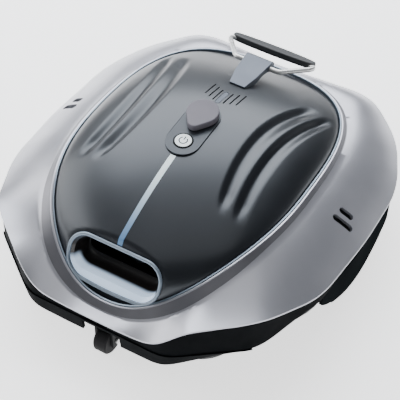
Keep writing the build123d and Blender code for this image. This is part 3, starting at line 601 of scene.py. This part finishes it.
def flute_drop(x, y):
    """How far the flutes sink the lid: each falls fast from its inner line and rises slowly to the next."""
    window = max(0.0, min(1.0, (y - FLUTE_FRONT) / FLUTE_FADE, (FLUTE_REAR - y) / FLUTE_FADE))
    window = window * window * (3 - 2 * window)
    lines = [near + bend * (y - middle) ** 2 for near, bend, middle in FLUTE_LINES]
    for inner, outer in zip(lines, lines[1:]):
        if inner < abs(x) < outer:
            share = (abs(x) - inner) / (outer - inner)
            fall, rise = min(1, share / FLUTE_FALL), max(0, (share - FLUTE_FALL) / (1 - FLUTE_FALL))
            return FLUTE_DEPTH * window * (fall * fall * (3 - 2 * fall) - rise * rise * (3 - 2 * rise))
    return 0.0


def facet_limit(y):
    return FACET_Z + (y - FACET_Y) / math.tan(FACET_LEAN)


def soft_min(a, b, blend=2.5):
    h = max(0.0, min(1.0, 0.5 + 0.5 * (b - a) / blend))
    return b + (a - b) * h - blend * h * (1 - h) * 0.5


def lid_point(station, turn, inset=0.0):
    """A point of the lid: station runs from -1 at the front to 1 at the rear, turn from rim to rim."""
    power, length = (2.2, RIM_FRONT) if station < 0 else (3.0, RIM_REAR)
    y = station * (length - inset)
    half = (RIM_HALF - inset) * (1 - abs(station) ** power) ** (1 / power)
    x = half * math.sin(turn)
    low = rim_z_at(y)
    z = low + max(1.0, ridge_z(y) - inset - low) * max(0.0, math.cos(turn)) ** (2 * ARCH_POWER)
    facet = facet_limit(y) - inset / math.sin(FACET_LEAN)
    return x, y, max(low - 3 - inset, soft_min(z, facet)) - flute_drop(x, y)


ROWS, COLUMNS, LID_WALL = 190, 190, 2.6


def lid_sheet(inset):
    """One face of the lid: a grid whose vertices are moved onto the lid's surface."""
    bpy.ops.object.select_all(action="DESELECT")
    bpy.ops.mesh.primitive_grid_add(x_subdivisions=COLUMNS, y_subdivisions=ROWS, size=2)
    sheet = bpy.context.object
    for vertex in sheet.data.vertices:
        along = vertex.co.y
        station = 0.998 * (along - 0.12 * math.sin(math.pi * along) * (along < 0))
        vertex.co = lid_point(station, vertex.co.x * math.pi / 2, inset)
    return sheet


lid = join(lid_sheet(0), lid_sheet(LID_WALL))
edit(lid, lambda: bpy.ops.mesh.select_all(action="DESELECT"), lambda: bpy.ops.mesh.select_non_manifold(),
     lambda: bpy.ops.mesh.bridge_edge_loops(), lambda: bpy.ops.mesh.select_all(action="SELECT"), outward)
print("lid", len(lid.data.vertices), "vertices")

# %% [markdown]
# ## Openings of the lid
# The mouth, the seat of the control oval, the holes for button and socket, the window and six vent slits
# are cut through the lid. Prisms over plain outlines are the cutters, each set in the frame of its piece.

# %% Openings
BUTTON_HOLE_R, SOCKET_HOLE_R = 10.1, 9.5
PILL_LONG, PILL_WIDE, PILL_Y = 24, 6, 50
SLIT_LONG, SLIT_WIDE, SLIT_PITCH, SLIT_Y, SLIT_STEP = 22, 1.5, 6, 52, 3
PLATE = Matrix.Translation((0, -7, 155.6)) @ Matrix.Rotation(math.radians(3.8), 4, "X")
PLATE_R, PLATE_SPAN, PLATE_T = 18.5, 38, 1.6
BUTTON = PLATE @ Matrix.Translation((0, -PLATE_SPAN / 2, 0))
SOCKET = PLATE @ Matrix.Translation((0, PLATE_SPAN / 2, 0))
QUARTER = Matrix.Rotation(math.pi / 2, 4, "Z")
OUTLET_W, OUTLET_H, OUTLET_Z = 102, 42, 92
# The frame of the outlet: its X runs across, its Y up the facet, and its Z leaves the facet.
FACET = (Matrix.Translation((0, FACET_Y - (FACET_Z - OUTLET_Z) * math.tan(FACET_LEAN), OUTLET_Z))
         @ Matrix.Rotation(-FACET_LEAN, 4, "X") @ Matrix.Rotation(math.pi / 2, 4, "X"))


MOUTH_CORNER, MOUTH_BELLY = 18.5, 4.5


def mouth_outline(grow=0.0, belly=MOUTH_BELLY, steps=12):
    """The mouth: a box with round corners whose lower edge sags in the middle."""
    r = MOUTH_CORNER + grow / 2
    x, y = (OUTLET_W + grow) / 2 - r, (OUTLET_H + grow) / 2 - r
    across = [(x - 2 * x * k / steps, -y - r) for k in range(steps, 0, -1)]
    box = (arc(r, 0, 90, (x, y), steps) + arc(r, 90, 180, (-x, y), steps)
           + arc(r, 180, 270, (-x, -y), steps) + across[1:] + arc(r, 270, 360, (x, -y), steps))
    return [(px, py - belly * max(0.0, -py / (OUTLET_H / 2)) * (1 - (px / (OUTLET_W / 2 + 2)) ** 2))
            for px, py in box]


def plate_outline(grow=0.0):
    return stadium(PLATE_SPAN + 2 * (PLATE_R + grow), 2 * (PLATE_R + grow))


cutters = [put(prism(plate_outline(0.5), -PLATE_T, 9), PLATE @ QUARTER),
           put(drum(BUTTON_HOLE_R, -12, 8), BUTTON), put(drum(SOCKET_HOLE_R, -12, 8), SOCKET),
           put(prism(mouth_outline(), -16, 12), FACET),
           put(prism(stadium(PILL_LONG, PILL_WIDE), 140, 170),
               Matrix.Translation((0, PILL_Y, 0)) @ QUARTER)]
for k in (-3, -2, -1, 1, 2, 3):
    centre = Matrix.Translation((SLIT_PITCH * k, SLIT_Y + SLIT_STEP * (abs(k) - 1), 0))
    cutters.append(put(prism(stadium(SLIT_LONG, SLIT_WIDE, 6), 138, 175), centre @ QUARTER))
for cutter in cutters:
    cut(lid, cutter)
done(lid, "lid_gloss", "base", "dome", "dome_cover", angle=38)

# %% [markdown]
# ## Light guide and vent window
# The light guide is a ribbon of clear plastic let into the lid, flush with it. A narrow grid is laid on
# the lid's own surface a hair above it, so the ribbon bends exactly as the lid does.

# %% Light guide and window
def on_lid(x, y, lift):
    """The point of the lid above (x, y), raised a little."""
    power, length = (2.2, RIM_FRONT) if y < 0 else (3.0, RIM_REAR)
    half = RIM_HALF * (1 - abs(y / length) ** power) ** (1 / power)
    x, y, z = lid_point(y / length, math.asin(x / half))
    return x, y, z + lift


STRIP_HALF, STRIP_FRONT, STRIP_BACK = 2.7, -143.8, -44.9
bpy.ops.object.select_all(action="DESELECT")
bpy.ops.mesh.primitive_grid_add(x_subdivisions=6, y_subdivisions=80, size=2)
strip = bpy.context.object
for vertex in strip.data.vertices:
    share = (vertex.co.y + 1) / 2
    across = vertex.co.x * (STRIP_HALF + 0.4 * share)
    vertex.co = on_lid(across, STRIP_FRONT + (STRIP_BACK - STRIP_FRONT) * share, 0.12)
modify(strip, "SOLIDIFY", thickness=1.0, offset=-1)
done(edit(strip, outward), "light_guide", "base", "light", "light_strip")

LID_SLOPE = math.radians(-10.8)
window_place = (Matrix.Translation((0, PILL_Y, ridge_z(PILL_Y)))
                @ Matrix.Rotation(LID_SLOPE, 4, "X") @ QUARTER)
window = round_edges(prism(stadium(PILL_LONG - 0.6, PILL_WIDE - 0.6), -2.4, -0.1), 0.4)
done(put(window, window_place), "vent_window", "base", "tongue", "indicator_window")

# %% [markdown]
# ## Outlet
# Water leaves through a mouth with a rounded metal-look rim. Behind it a throat narrows like a bell: the
# mouth's outline is extruded ring by ring, each ring smaller and deeper. Its floor is painted bright with a
# painted glow of light, and its roof and its far end are painted dark as shade.


# %% Tubes along a line
def tube(points, radius):
    """A round tube along a closed line: a ring of edges turned into a curve, given a bevel, and back."""
    bpy.ops.object.select_all(action="DESELECT")
    bpy.ops.mesh.primitive_circle_add(vertices=len(points))
    wire = bpy.context.object
    for vertex, point in zip(wire.data.vertices, points):
        vertex.co = point
    only(wire)
    bpy.ops.object.convert(target="CURVE")
    wire = bpy.context.object
    wire.data.bevel_depth, wire.data.bevel_resolution, wire.data.use_fill_caps = radius, 5, True
    bpy.ops.object.convert(target="MESH")
    return edit(bpy.context.object, outward)


# %% Outlet rim
RIM_TUBE = 1.9
rim_line = [(x, y, 0.9) for x, y in mouth_outline(1.5)]
outlet_rim = tube(rim_line, RIM_TUBE)
done(put(outlet_rim, FACET), "outlet_rim", "base", "trim", "outlet_ring")

# %% Throat
THROAT_RINGS, THROAT_DEPTH, THROAT_START = 12, 28, 0.6
ROOF_INSET, FLOOR_INSET, SIDE_INSET = 1.5, 14, 3
mouth, bore = mouth_outline(-0.8), mouth_outline(-6.8, belly=0)      # the bore lines the duct
bpy.ops.object.select_all(action="DESELECT")
bpy.ops.mesh.primitive_circle_add(vertices=len(mouth))
throat = bpy.context.object
lift = {"TRANSFORM_OT_translate": {"value": (0, 0, 1)}}
edit(throat, *[lambda: bpy.ops.mesh.extrude_region_move(**lift)] * THROAT_RINGS)
slots_on_ring = len(mouth)
for vertex in throat.data.vertices:
    ring, turn = round(vertex.co.z), math.atan2(vertex.co.y, vertex.co.x) % (2 * math.pi)
    x, y = (bore if ring else mouth)[round(turn / (2 * math.pi) * slots_on_ring) % slots_on_ring]
    sink = ring / THROAT_RINGS * math.pi / 2
    low = max(0.0, 1 - y / (OUTLET_H / 2)) / 2
    narrowing = 1 - math.cos(sink)
    vertex.co = (x * (1 - SIDE_INSET / (OUTLET_W / 2) * narrowing),
                 y + (ROOF_INSET * (low - 1) + FLOOR_INSET * low ** 1.5) * narrowing,
                 THROAT_START - THROAT_DEPTH * math.sin(sink))
edit(throat, outward)
modify(throat, "SOLIDIFY", thickness=1.0, offset=1)
edit(throat, outward)
bell = Finish("throat_painted_light_finish", Roughness=0.34, Coat_Weight=0.3)
back_y, up_z = [bell.node("SeparateXYZ", sockets={0: bell.place}, out=axis) for axis in (1, 2)]
back_y, up_z = back_y - FACET.translation.y * MM, up_z - OUTLET_Z * MM
up_facet = back_y * math.sin(FACET_LEAN) + up_z * math.cos(FACET_LEAN)      # height, in the mouth's plane
inward = back_y * math.cos(FACET_LEAN) - up_z * math.sin(FACET_LEAN)        # depth behind that plane
# painted light and shade: the floor near the mouth is painted bright, the roof and the far end painted dark
# as shade
lit = (1 - bell.ramp(up_facet, -0.012, -0.004)) * (1 - bell.ramp(inward, 0.010, 0.017))
bell.set("Base Color", bell.blend((0.016, 0.013, 0.012, 1), (0.55, 0.68, 0.86, 1),
                                  lit * (0.92 + bell.noise(70) * 0.16)))
# painted light: the floor glows where the mask paints it lit
bell.set("Emission Color", bell.blend((0, 0, 0, 1), (0.55, 0.70, 0.90, 1), lit))
bell.shader.inputs["Emission Strength"].default_value = 0.9
FINISHES["scoop"] = bell
done(put(throat, FACET), "outlet_throat", "base", "scoop", "jet_scoop")

# %% [markdown]
# ## Control plate, power button and charging cap
# The plate is a flush oval with a fine groove round it. The button is a dark ring with a lit disc that
# carries the usual power sign. The cap is a rubber pick whose stem plugs the charging socket.

# %% Plate and button
plate = prism(plate_outline(-0.35), -PLATE_T, 0)
for hole in (put(drum(BUTTON_HOLE_R, -9, 9), Matrix.Translation((-PLATE_SPAN / 2, 0, 0))),
             put(drum(SOCKET_HOLE_R, -9, 9), Matrix.Translation((PLATE_SPAN / 2, 0, 0)))):
    cut(plate, hole)
done(put(round_edges(plate, 0.3), PLATE @ QUARTER), "control_oval", "base", "plate", "control_plate")

BUTTON_R, BUTTON_TOP, LENS_R = 9.8, 0.6, 8.4
ring = round_edges(drum(BUTTON_R, -3.6, BUTTON_TOP), 0.35)
stem = round_edges(drum(3, -8, -3.5, 32), 0.3)
done(put(join(ring, stem), BUTTON), "button_ring", "button", "dark", "power_button")
lens = round_edges(drum(LENS_R, BUTTON_TOP - 0.4, BUTTON_TOP + 0.25), 0.25)
done(put(lens, BUTTON), "button_lens", "button", "button")
SIGN_OUT, SIGN_IN, SIGN_GAP = 4.8, 3.5, 36
sign = (arc(SIGN_OUT, 90 + SIGN_GAP, 450 - SIGN_GAP, steps=32)
        + arc(SIGN_IN, 450 - SIGN_GAP, 90 + SIGN_GAP, steps=32))
sign_top = BUTTON_TOP + 0.4
sign_piece = join(prism(sign, BUTTON_TOP + 0.1, sign_top),
                  put(prism(stadium(4.8, 1.3, 6), BUTTON_TOP + 0.1, sign_top),
                      Matrix.Translation((0, 3.1, 0)) @ QUARTER))
done(put(sign_piece, BUTTON), "power_sign", "button", "hub")

# %% [markdown]
# ## Charging cap
# Seen from above the cap is a guitar pick: a large circle and a small one, joined by their common tangents.
# Two arcs that end where those tangents touch give the outline, so the sides need no points of their own.

# %% Cap
CAP_R, POINT_R, POINT_REACH, CAP_TOP = 16.5, 7.0, 16.0, 8.0
tangent = math.degrees(math.acos((CAP_R - POINT_R) / POINT_REACH))
pick = (arc(CAP_R, tangent - 90, 270 - tangent, steps=48)
        + arc(POINT_R, 270 - tangent, 270 + tangent, (0, -POINT_REACH), 12))
cap = round_edges(prism(pick, 0.3, CAP_TOP), 1.1, 4)
cap_stem = round_edges(drum(8.0, -9, 0.5, 48), 0.6)
done(put(join(cap, cap_stem), SOCKET), "cap_pick", "cap", "cap", "charging_cap")

# %% [markdown]
# ## Carrying handle
# A strap stands on the lid and curls round the front bar of a bent-wire bail. The wire is one closed
# line with rounded corners. A flat blade grip is moulded on the rear bar.

# %% Strap
BAR_R, BAR_Y, BAR_Z = 2.75, 124.5, 141.5
CURL_R = BAR_R + 2.6
HOOK, STRAP_HALF, ROOT_Y, ROOT_NARROW, TAPER_LONG = 4, 15.5, 81, 0.58, 31
curl = [(BAR_Y + HOOK + y, BAR_Z + z) for y, z in arc(CURL_R, 90, -120, steps=24)]
side = ([(ROOT_Y, 141), (ROOT_Y, 146.2), (100, 147.2)] + curl
        + [(117, 141.6), (108, 142.6), (100, 139), (93, 138.5)])
UPRIGHT = Matrix(((0, 0, 1, 0), (1, 0, 0, 0), (0, 1, 0, 0), (0, 0, 0, 1)))      # outline in Y and Z
strap = put(prism(side, -STRAP_HALF, STRAP_HALF), UPRIGHT)
bar_line = Matrix.Translation((0, BAR_Y, BAR_Z)) @ Matrix.Rotation(math.pi / 2, 4, "Y")
strap = cut(strap, put(drum(BAR_R + 0.05, -30, 30, 48), bar_line))
for vertex in strap.data.vertices:
    along_strap = (vertex.co.y - ROOT_Y) / TAPER_LONG
    vertex.co.x *= min(1.0, ROOT_NARROW + (1 - ROOT_NARROW) * along_strap)
edit(strap, outward)
done(round_edges(strap, 0.5, 3, 40), "handle_strap", "base", "tongue", "handle_tongue")

# %% [markdown]
# ## Bail and grip
# The wire is one closed line whose corners are rounded by short curves, so it bends as drawn wire does. The
# grip is a blade with blunt ends and round edges, tilted to lie in the plane of the bail.

# %% Wire and blade
GRIP_REACH, GRIP_DROP, FRONT_HALF, REAR_HALF, CORNER_R = 37, 9.5, 26, 55, 7


def rounded_line(corners, radius, steps=8):
    """A closed line through corners, with an arc at each."""
    line = []
    count = len(corners)
    for k, corner in enumerate(corners):
        here, before, after = Vector(corner), Vector(corners[k - 1]), Vector(corners[(k + 1) % count])
        to_before, to_after = (before - here).normalized(), (after - here).normalized()
        half_angle = to_before.angle(to_after) / 2
        reach = radius / math.tan(half_angle)
        start, end = here + to_before * reach, here + to_after * reach
        for step in range(steps + 1):
            t = step / steps
            line.append((1 - t) ** 2 * start + 2 * t * (1 - t) * here + t ** 2 * end)
    return line


rear_y, rear_z = BAR_Y + GRIP_REACH, BAR_Z - GRIP_DROP
wire = rounded_line([(-FRONT_HALF, BAR_Y, BAR_Z), (FRONT_HALF, BAR_Y, BAR_Z),
                     (REAR_HALF, rear_y, rear_z), (-REAR_HALF, rear_y, rear_z)], CORNER_R)
done(tube(wire, BAR_R), "handle_wire", "bail", "steel", "handle_bail")
GRIP_HALF, GRIP_WIDTH, GRIP_THICK = 50, 12, 7.6
blade = ([(GRIP_HALF * math.cos(a), GRIP_WIDTH / 2 * math.sin(a) ** 0.5)
          for a in [math.pi * k / 24 for k in range(1, 24)]]
         + [(-GRIP_HALF * math.cos(a), -GRIP_WIDTH / 2 * math.sin(a) ** 0.5)
            for a in [math.pi * k / 24 for k in range(1, 24)]])
grip = round_edges(prism(blade, -GRIP_THICK / 2, GRIP_THICK / 2), 2.4, 4, 40)
tilt = (Matrix.Translation((0, rear_y + 1.2, rear_z))
        @ Matrix.Rotation(-math.atan2(GRIP_DROP, GRIP_REACH), 4, "X"))
done(put(grip, tilt), "handle_blade", "bail", "grip", "handle_grip")
